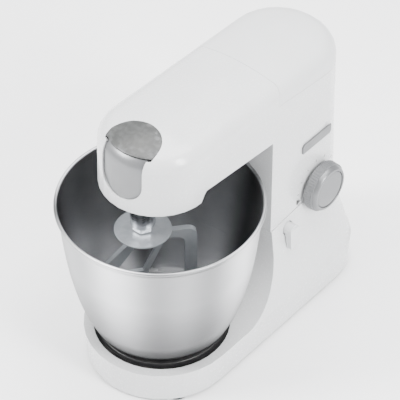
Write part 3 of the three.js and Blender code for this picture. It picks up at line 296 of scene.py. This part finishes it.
@dataclass(frozen=True)
class Finish:
    """A surface finish, and the procedural material that shows it."""

    name: str
    colour: tuple[float, float, float]
    tint: tuple[float, float, float]
    roughness: float = 0.4
    spread: float = 0.08
    metallic: float = 0.0
    coat: float = 0.0
    grain_scale: float = 900.0
    grain_bump: float = 0.02
    wear: float = 0.0
    wear_colour: tuple[float, float, float] = (200, 200, 200)
    dust: float = 0.0
    streak: float = 0.0
    streak_across: float = 1800.0
    streak_along: float = 12.0
    streak_centre: tuple[float, float, float] = (0.0, 0.0, 0.0)
    spun: float = 0.0
    # Painted reflection bands round a spun wall: their phase and their dark colour.
    painted_band_turn: float = 0.0
    painted_band_colour: tuple[float, float, float] = (92, 93, 94)
    # Colour of the painted shade towards the foot of a spun wall.
    painted_shade_colour: tuple[float, float, float] = (30, 30, 32)

    def tangent(self, w: Wiring, place: bpy.types.NodeSocket) -> bpy.types.NodeSocket:
        """The direction that a spun surface's fine grooves run in: round the axis, square to the radius.

        Args:
            w: the material's wiring.
            place: the object coordinates.

        Returns:
            The direction, in world space.
        """
        away = w.node("VectorMath", {"operation": "SUBTRACT"})
        w.feed(away.inputs[0], place)
        w.feed(away.inputs[1], self.streak_centre)
        around = w.node("VectorMath", {"operation": "CROSS_PRODUCT"})
        w.feed(around.inputs[0], (0.0, 0.0, 1.0))
        w.feed(around.inputs[1], away.outputs[0])
        to_world = {"vector_type": "VECTOR", "convert_from": "OBJECT", "convert_to": "WORLD"}
        return w.node("VectorTransform", to_world, Vector=around.outputs[0]).outputs[0]

    def material(self) -> bpy.types.Material:
        """Builds the material, once.

        Returns:
            The Blender material.
        """
        if self.name in bpy.data.materials:
            return bpy.data.materials[self.name]
        made = bpy.data.materials.new(self.name)
        made.use_nodes = True
        w = Wiring(made.node_tree)
        place = w.node("TexCoord").outputs["Object"]
        grain = w.node("Group", {"node_tree": grain_group()}, Vector=place, Fine_Scale=self.grain_scale)
        colour = w.mix(grain.outputs["Mottle"], linear(*self.colour), linear(*self.tint))
        half = self.spread / 2
        rough = w.span(grain.outputs["Grain"], 0.3, 0.7, self.roughness - half, self.roughness + half)
        height = grain.outputs["Grain"]
        strength = self.grain_bump
        if self.streak:
            brushing = w.node(
                "Group", {"node_tree": brushing_group()}, Vector=place, Centre=self.streak_centre,
                Along=self.streak_along, Across=self.streak_across,
            )
            height = brushing.outputs["Streak"]
            strength = self.streak
            rough = w.span(height, 0.3, 0.7, self.roughness - self.spread, self.roughness + self.spread)
        if self.wear:
            wear = w.node("Group", {"node_tree": wear_group()}, Vector=place, Amount=self.wear)
            colour = w.mix(wear.outputs["Mask"], colour, linear(*self.wear_colour))
        if self.dust:
            dust = w.node("Group", {"node_tree": dust_group()}, Vector=place, Amount=self.dust)
            colour = w.mix(dust.outputs["Mask"], colour, linear(206, 202, 196))
            rough = w.math("ADD", rough, w.math("MULTIPLY", dust.outputs["Mask"], 0.4))
        bump = w.node("Bump", None, Height=height, Strength=strength, Distance=0.0004)
        shader = w.node("BsdfPrincipled", None, Base_Color=colour, Roughness=rough, Normal=bump.outputs[0],
                        Metallic=self.metallic, Coat_Weight=self.coat, Coat_Roughness=0.08)
        if self.spun:
            sheen = w.node("Group", {"node_tree": sheen_group()}, Vector=place, Centre=self.streak_centre,
                           Turn=self.painted_band_turn)
            # Painted reflection: dark and light bands round the axis, mixed into the base colour.
            with_painted_bands = w.mix(sheen.outputs["Bands"], linear(*self.painted_band_colour), colour)
            # Painted shade: the outside grows darker towards the foot.
            with_painted_shade = w.mix(sheen.outputs["Foot Shade"], with_painted_bands, linear(*self.painted_shade_colour))
            w.feed(shader.inputs["Base Color"], with_painted_shade)
            shader.inputs["Anisotropic"].default_value = self.spun
            w.feed(shader.inputs["Tangent"], self.tangent(w, place))
        w.node("OutputMaterial", None, Surface=shader.outputs[0])
        return made


def bowl_axis() -> tuple[float, float, float]:
    """The point where the bowl's axis meets the table, in metres."""
    low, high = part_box("bowl")
    middle = (low + high) / 2
    return (middle.x, middle.y, 0.0)


class Look(enum.Enum):
    """The finishes that the mixer is made in."""

    WHITE = Finish("White enamel", (202, 203, 204), (199, 200, 201), 0.26, 0.05, coat=0.35, grain_scale=420.0,
                   grain_bump=0.012, dust=0.05)
    WHITE_PLASTIC = Finish("White plastic", (201, 202, 203), (198, 199, 200), 0.32, 0.06, coat=0.15,
                           grain_scale=600.0, grain_bump=0.015, dust=0.04)
    GREY = Finish("Grey plastic", (54, 55, 54), (48, 49, 49), 0.4, 0.1, grain_bump=0.06, wear=0.2,
                  wear_colour=(165, 166, 168), dust=0.05)
    BLACK = Finish("Black plastic", (24, 24, 25), (32, 32, 33), 0.36, 0.1, grain_bump=0.05, wear=0.25,
                   wear_colour=(70, 70, 70), dust=0.04)
    SILVER = Finish("Silver paint", (120, 121, 122), (112, 113, 115), 0.34, 0.08, metallic=0.55,
                    grain_scale=2400.0, grain_bump=0.03, dust=0.03)
    # The bowl's base colour carries painted reflection bands and painted shade towards its foot.
    BOWL = Finish("Spun steel", (226, 226, 228), (216, 217, 219), 0.34, 0.07, metallic=1.0, streak=0.07,
                  streak_centre=bowl_axis(), spun=0.85, painted_band_turn=0.9)
    STEEL = Finish("Turned steel", (196, 197, 200), (186, 187, 190), 0.24, 0.08, metallic=1.0, streak=0.06,
                   streak_centre=bowl_axis(), wear=0.1, wear_colour=(225, 225, 226))
    CAST = Finish("Cast aluminium", (176, 180, 184), (160, 165, 170), 0.42, 0.12, metallic=0.7,
                  grain_scale=1300.0, grain_bump=0.12, wear=0.35, wear_colour=(196, 198, 201))
    RUBBER = Finish("Rubber", (38, 38, 38), (46, 46, 46), 0.8, 0.1, grain_bump=0.1, dust=0.2)
    BRASS = Finish("Brass", (192, 160, 92), (176, 142, 78), 0.34, 0.1, metallic=1.0, wear=0.2,
                   wear_colour=(224, 200, 140))
    COPPER = Finish("Copper winding", (178, 112, 72), (150, 88, 56), 0.42, 0.14, metallic=0.9, streak=0.2,
                    streak_across=900.0)


# --------------------------------------------------------------------------------------
# Meshes
# --------------------------------------------------------------------------------------


def body_of_node(node: str) -> str:
    """The name of the CAD body that holds a node."""
    for body, nodes in frame["record"]["behaviour"]["bodies"].items():
        if node in nodes:
            return body
    raise KeyError(node)


def slot_of_node(node: str) -> str:
    """The record's material slot of a node."""
    return next(p["material_slot"] for p in frame["record"]["subparts"] if p["node"] == node)


def add_object(name: str, mesh: bpy.types.Mesh, look: Look) -> bpy.types.Object:
    """Links a mesh to the scene as a new object with one finish.

    Args:
        name: the piece's name.
        mesh: its mesh, in the row frame.
        look: its finish.

    Returns:
        The new object, at the origin.
    """
    made = bpy.data.objects.new(name, mesh)
    bpy.context.collection.objects.link(made)
    mesh.materials.clear()
    mesh.materials.append(look.value.material())
    return made


def surface(
    name: str, grid: np.ndarray, look: Look, wrap: tuple[bool, bool] = (True, False)
) -> bpy.types.Object:
    """Makes a smooth quad surface from a grid of points.

    Args:
        name: the piece's name.
        grid: points as rows by columns by 3, in metres; faces point out where columns run counterclockwise
            seen from outside and rows go up.
        look: its finish.
        wrap: whether the columns and the rows close on themselves.

    Returns:
        The new object.
    """
    rows, columns = grid.shape[:2]
    index = np.arange(rows * columns).reshape(rows, columns)
    right = np.roll(index, -1, axis=1)
    if not wrap[0]:
        index, right = index[:, :-1], right[:, :-1]
    low, high = index, np.roll(index, -1, axis=0)
    low_right, high_right = right, np.roll(right, -1, axis=0)
    if not wrap[1]:
        low, high, low_right, high_right = low[:-1], high[:-1], low_right[:-1], high_right[:-1]
    faces = np.stack([low, low_right, high_right, high], axis=-1).reshape(-1, 4)
    mesh = bpy.data.meshes.new(name)
    mesh.from_pydata(grid.reshape(-1, 3).tolist(), [], faces.tolist())
    tidy_mesh(mesh)
    return add_object(name, mesh, look)


def tidy_mesh(mesh: bpy.types.Mesh, crease: float = 40.0, recalculate: bool = True) -> None:
    """Merges doubled points, drops empty faces, points the faces out and smooths all but sharp edges.

    Args:
        mesh: the mesh to change.
        crease: edges sharper than this many degrees stay sharp.
        recalculate: whether the faces are turned to point out.
    """
    work = bmesh.new()
    work.from_mesh(mesh)
    bmesh.ops.remove_doubles(work, verts=work.verts, dist=0.00001)
    bmesh.ops.dissolve_degenerate(work, edges=work.edges, dist=0.000005)
    if recalculate:
        bmesh.ops.recalc_face_normals(work, faces=work.faces)
    work.to_mesh(mesh)
    work.free()
    mesh.shade_smooth()
    mesh.set_sharp_from_angle(angle=math.radians(crease))


def bevelled(
    piece: bpy.types.Object, width: float, segments: int = 2, angle: float = 35.0
) -> bpy.types.Object:
    """Adds a small rounding to a piece's sharp edges.

    Args:
        piece: the object.
        width: the rounding's width, in mm.
        segments: steps across it.
        angle: edges sharper than this many degrees are rounded.

    Returns:
        The same object.
    """
    rounding = piece.modifiers.new("Rounding", "BEVEL")
    rounding.width = width * MM
    rounding.segments = segments
    rounding.limit_method = "ANGLE"
    rounding.angle_limit = math.radians(angle)
    rounding.harden_normals = True
    rounding.miter_outer = "MITER_ARC"
    return piece


def settle(piece: bpy.types.Object, node: str, *others: str) -> bpy.types.Object:
    """Lets a piece stand for CAD nodes and move with their body.

    Args:
        piece: the object.
        node: the node whose body it takes.
        *others: further nodes that it stands for.

    Returns:
        The same object.
    """
    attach(piece, body_of_node(node))
    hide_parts(node, *others)
    count = sum(len(p.vertices) - 2 for p in piece.data.polygons)
    log.info("%-28s %6d triangles for %s", piece.name, count, ", ".join((node, *others)))
    return piece


def skin_of(node: str, look: Look, rounding: float = 0.0, crease: float = 30.0) -> bpy.types.Object:
    """A merged and smoothed copy of a CAD node, with its sharp edges rounded.

    Args:
        node: the CAD node.
        look: its finish.
        rounding: width of the rounded edges, in mm; 0 leaves them sharp.
        crease: edges sharper than this many degrees stay sharp.

    Returns:
        The new object, settled on the node's body.
    """
    mesh = frame["nodes"][node].data.copy()
    mesh.name = node + "_skin"
    tidy_mesh(mesh, crease, recalculate=False)
    piece = add_object(node + "_skin", mesh, look)
    if rounding:
        bevelled(piece, rounding)
    weighted = piece.modifiers.new("Even shading", "WEIGHTED_NORMAL")
    weighted.keep_sharp = True
    weighted.weight = 80
    return settle(piece, node)


def turned(
    profile: Sequence[tuple[float, float]], centre: Sequence[float], segments: int = 128
) -> np.ndarray:
    """Turns a profile about a vertical axis: each point goes round a circle of its radius at its height.

    Args:
        profile: (radius, height) pairs in mm, running up the outside and down the inside.
        centre: the axis, as x and y in metres.
        segments: points round the circle.

    Returns:
        The grid of points, in metres.
    """
    radius, height = (np.array(profile, float) * MM).T
    angle = np.linspace(0, 2 * math.pi, segments, endpoint=False)
    x = centre[0] + radius[:, None] * np.cos(angle)
    y = centre[1] + radius[:, None] * np.sin(angle)
    z = np.broadcast_to(height[:, None], x.shape)
    return np.stack([x, y, z], axis=-1)


# --------------------------------------------------------------------------------------
# Sub-assemblies
# --------------------------------------------------------------------------------------


@dataclass
class Shells:
    """The white casings, with softly rounded edges."""

    rounding: float = 0.8
    pieces: dict[str, Look] = field(default_factory=lambda: {
        "pedestal_shell": Look.WHITE,
        "upper_tower_casing": Look.WHITE,
        "head_casing": Look.WHITE,
        "high_speed_outlet_cover": Look.WHITE_PLASTIC,
    })

    def build(self) -> None:
        """Builds every casing."""
        for node, look in self.pieces.items():
            skin_of(node, look, self.rounding)


@dataclass
class Trim:
    """Small fittings that are skinned straight from their CAD nodes."""

    pieces: dict[str, tuple[Look, float]] = field(default_factory=lambda: {
        "release_lever": (Look.WHITE_PLASTIC, 1.0),
        "outlet_flap": (Look.SILVER, 0.6),
        # Grey on the catch is painted shade: its top is the same silver as the flap, darker where it faces
        # up.
        "outlet_catch": (Look.GREY, 0.8),
        "badge_plate": (Look.SILVER, 0.5),
        "dial_knob": (Look.SILVER, 0.6),
        "dial_cap": (Look.SILVER, 0.5),
        "dial_pointer": (Look.GREY, 0.2),
        "bowl_seat": (Look.BLACK, 0.4),
        "bowl_foot_ring": (Look.BLACK, 0.5),
        "tool_spindle": (Look.STEEL, 0.5),
        "height_nut": (Look.STEEL, 0.6),
        "splash_shield": (Look.CAST, 0.0),
        "k_beater": (Look.CAST, 1.6),
        "cord_gland": (Look.BLACK, 0.5),
    })

    def build(self) -> None:
        """Builds every fitting."""
        for node, (look, rounding) in self.pieces.items():
            skin_of(node, look, rounding)


@dataclass
class Dial:
    """The speed dial's fine ribs and the printed scale beside it."""

    ribs: int = 60
    rib_depth: float = 0.35
    barrel_start: float = 1.5
    barrel_length: float = 10.0
    marks: int = 7
    mark_from: float = 40.0
    mark_to: float = 200.0
    mark_size: tuple[float, float] = (3.4, 0.7)
    mark_gap: float = 2.6

    def build(self) -> None:
        """Builds the ribbed sleeve and the scale."""
        low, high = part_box("dial_knob")
        self.centre = ((low.y + high.y) / 2, (low.z + high.z) / 2)
        self.radius = (high.z - low.z) / 2
        self.rear = low.x
        self.sleeve()
        self.scale()

    def sleeve(self) -> None:
        """A thin ribbed sleeve round the barrel: the radius swings with a sine of the angle."""
        columns = self.ribs * 6
        angle = np.linspace(0, 2 * math.pi, columns, endpoint=False)
        swing = self.rib_depth * MM * (0.5 + 0.5 * np.sin(self.ribs * angle))
        along = np.array([0.0, 0.3, self.barrel_length - 0.3, self.barrel_length]) * MM
        lift = np.array([0.0, 1.0, 1.0, 0.0])
        taper = -0.06 * along
        inner = self.radius - 0.3 * MM + taper
        outer = inner[:, None] + lift[:, None] * (0.4 * MM + swing[None, :])
        outside = self.ring_points(outer, along, angle)
        inside = self.ring_points(np.broadcast_to(inner[:, None] - 0.3 * MM, outer.shape), along, angle)
        piece = surface("dial_ribs", np.concatenate([outside, inside[::-1]]), Look.SILVER, (True, True))
        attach(piece, body_of_node("dial_knob"))

    def ring_points(self, radius: np.ndarray, along: np.ndarray, angle: np.ndarray) -> np.ndarray:
        """Points round the dial's axis, which runs along X.

        Args:
            radius: the radius of each point, rows by columns.
            along: distance of each row from the dial's rear face.
            angle: angle of each column.

        Returns:
            The grid of points.
        """
        y = self.centre[0] + radius * np.cos(angle)
        z = self.centre[1] + radius * np.sin(angle)
        x = np.broadcast_to((self.rear + self.barrel_start * MM + along)[:, None], y.shape)
        return np.stack([x, y, z], axis=-1)

    def scale(self) -> None:
        """Short printed marks on the tower, spread evenly round part of the dial."""
        length, width = (v * MM for v in self.mark_size)
        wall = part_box("upper_tower_casing")[1].x
        for number, turn in enumerate(np.radians(np.linspace(self.mark_from, self.mark_to, self.marks))):
            start = self.radius + self.mark_gap * MM
            out = np.array([0.0, math.cos(turn), math.sin(turn)])
            side = np.array([0.0, -math.sin(turn), math.cos(turn)])
            middle = np.array([wall + 0.1 * MM, *self.centre])
            across = np.array([-1.0, 1.0])[None, :, None] * side * width / 2
            away = np.array([start, start + length])[:, None, None] * out
            mesh = bpy.data.meshes.new(f"dial_mark_{number}")
            points = (middle + across + away).reshape(-1, 3)
            mesh.from_pydata(points.tolist(), [], [(0, 1, 3, 2)])
            piece = add_object(f"dial_mark_{number}", mesh, Look.BLACK)
            solid = piece.modifiers.new("Ink", "SOLIDIFY")
            solid.thickness = 0.1 * MM
            solid.offset = 0.0
            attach(piece, body_of_node("upper_tower_casing"))


@dataclass
class Bowl:
    """The spun steel bowl with its rolled rim."""

    wall: float = 1.2
    rim: float = 120.0
    rim_height: float = 234.0
    bead: float = 2.3
    floor: float = 52.0
    outside: tuple[tuple[float, float], ...] = (
        (72, 52.4), (79.5, 60), (86.9, 75), (94.5, 95), (101.1, 120), (107, 150), (111.6, 185), (115.6, 226),
    )

    def build(self) -> None:
        """Builds the bowl: a smooth curve through the outside's points, over the rim and back down."""
        radius, height = np.array(self.outside, float).T
        along = np.linspace(0, len(radius) - 1, 90)
        smooth_radius, smooth_height = (through(values, along) for values in (radius, height))
        turn = np.radians(np.linspace(-70, 200, 22))
        bead_radius = self.rim - self.bead + self.bead * np.cos(turn)
        bead_height = self.rim_height + self.bead * np.sin(turn)
        profile = [
            (0.01, self.floor), (40, self.floor), (66, self.floor),
            *zip(smooth_radius, smooth_height),
            *zip(bead_radius, bead_height),
            *zip(smooth_radius[::-1] - self.wall, smooth_height[::-1] + self.wall / 2),
            (66, self.floor + self.wall), (40, self.floor + self.wall), (0.01, self.floor + self.wall),
        ]
        piece = surface("bowl_steel", turned(profile, bowl_axis(), 160), Look.BOWL)
        settle(piece, "bowl")


def through(values: np.ndarray, along: np.ndarray) -> np.ndarray:
    """A smooth curve through evenly numbered values (Catmull-Rom).

    Args:
        values: the values at 0, 1, 2 and so on.
        along: where to read the curve.

    Returns:
        The curve's values.
    """
    padded = np.concatenate([[2 * values[0] - values[1]], values, [2 * values[-1] - values[-2]]])
    index = np.minimum(along.astype(int), len(values) - 2)
    t = along - index
    a, b, c, d = (padded[index + k] for k in range(4))
    return 0.5 * (2 * b + (c - a) * t + (2 * a - 5 * b + 4 * c - d) * t**2 + (3 * b - a - 3 * c + d) * t**3)


@dataclass
class Carried:
    """CAD nodes that are shown as they are, with a finish for each material slot."""

    looks: dict[str, Look] = field(default_factory=lambda: {
        "white_body": Look.WHITE,
        "white_plastic": Look.WHITE_PLASTIC,
        "grey_plastic": Look.GREY,
        "black_plastic": Look.BLACK,
        "silver_plastic": Look.SILVER,
        "bowl_steel": Look.BOWL,
        "steel": Look.STEEL,
        "cast_aluminium": Look.CAST,
        "rubber": Look.RUBBER,
        "brass": Look.BRASS,
        "copper": Look.COPPER,
    })

    def build(self) -> None:
        """Gives each node that is still shown the finish of its slot."""
        for node, shown in frame["nodes"].items():
            if shown.hide_render:
                continue
            shown.data.materials.clear()
            shown.data.materials.append(self.looks[slot_of_node(node)].value.material())
            log.info("%-28s carried over", node)


# --------------------------------------------------------------------------------------
# Studio
# --------------------------------------------------------------------------------------


@dataclass(frozen=True)
class Lamp:
    """A soft rectangular light."""

    name: str
    place: tuple[float, float, float]
    aim: tuple[float, float, float]
    size: tuple[float, float]
    power: float

    def build(self) -> None:
        """Adds the light, turned to its aim."""
        data = bpy.data.lights.new(self.name, "AREA")
        data.shape = "RECTANGLE"
        data.size, data.size_y = self.size
        data.energy = self.power
        lamp = bpy.data.objects.new(self.name, data)
        bpy.context.collection.objects.link(lamp)
        lamp.location = self.place
        toward = Vector(self.aim) - Vector(self.place)
        lamp.rotation_euler = toward.to_track_quat("-Z", "Y").to_euler()


@dataclass
class Studio:
    """The floor, the lights and the camera."""

    target: tuple[float, float, float] = (0.05813, -0.0835, 0.27113)
    azimuth: float = 39.70
    elevation: float = 42.63
    distance: float = 2.75385
    lens: float = 225.0
    sky: tuple[float, float, float] = (0.93, 0.94, 0.95)
    sky_strength: float = 1.15
    lamps: tuple[Lamp, ...] = (
        Lamp("key", (-1.5, -1.9, 2.0), (0, 0, 0.2), (0.9, 1.4), 150.0),
        Lamp("side", (2.3, -0.2, 1.7), (0, 0, 0.15), (0.7, 1.6), 130.0),
        Lamp("top", (0.0, 0.3, 2.6), (0, 0, 0), (2.4, 2.4), 165.0),
    )

    def build(self) -> None:
        """Builds the whole studio."""
        self.floor()
        for lamp in self.lamps:
            lamp.build()
        world = bpy.data.worlds.new("Studio sky")
        world.use_nodes = True
        background = world.node_tree.nodes["Background"]
        background.inputs[0].default_value = (*self.sky, 1.0)
        background.inputs[1].default_value = self.sky_strength
        bpy.context.scene.world = world
        self.camera()

    def floor(self) -> None:
        """A pale floor, wide enough to fill the view."""
        mesh = bpy.data.meshes.new("floor")
        half = 6.0
        corners = [(-half, -half, 0.0), (half, -half, 0.0), (half, half, 0.0), (-half, half, 0.0)]
        mesh.from_pydata(corners, [], [(0, 1, 2, 3)])
        pale = Finish("Pale floor", (246, 246, 246), (244, 244, 245), 0.7, 0.05, grain_bump=0.005)
        mesh.materials.append(pale.material())
        floor = bpy.data.objects.new("floor", mesh)
        bpy.context.collection.objects.link(floor)

    def camera(self) -> None:
        """A long lens that looks down at the mixer from its dial side."""
        data = bpy.data.cameras.new("camera")
        data.lens = self.lens
        data.sensor_width = 36.0
        data.clip_start, data.clip_end = 0.1, 50.0
        camera = bpy.data.objects.new("camera", data)
        bpy.context.collection.objects.link(camera)
        turn, rise = math.radians(self.azimuth), math.radians(self.elevation)
        back = Vector((math.sin(turn) * math.cos(rise), -math.cos(turn) * math.cos(rise), math.sin(rise)))
        camera.location = Vector(self.target) + back * self.distance
        camera.rotation_euler = (-back).to_track_quat("-Z", "Y").to_euler()
        bpy.context.scene.camera = camera


def corners(box: tuple[Vector, Vector]) -> list[list[float]]:
    """A box's two corners as plain lists of numbers."""
    return [[round(float(v), 6) for v in corner] for corner in box]


def main() -> None:
    """Builds the mixer and its studio."""
    logging.basicConfig(level=logging.INFO, format="%(message)s")
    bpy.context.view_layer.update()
    for part in (Shells(), Trim(), Dial(), Bowl(), Carried(), Studio()):
        log.info("%s", type(part).__name__)
        part.build()


if __name__ == "__main__":
    main()
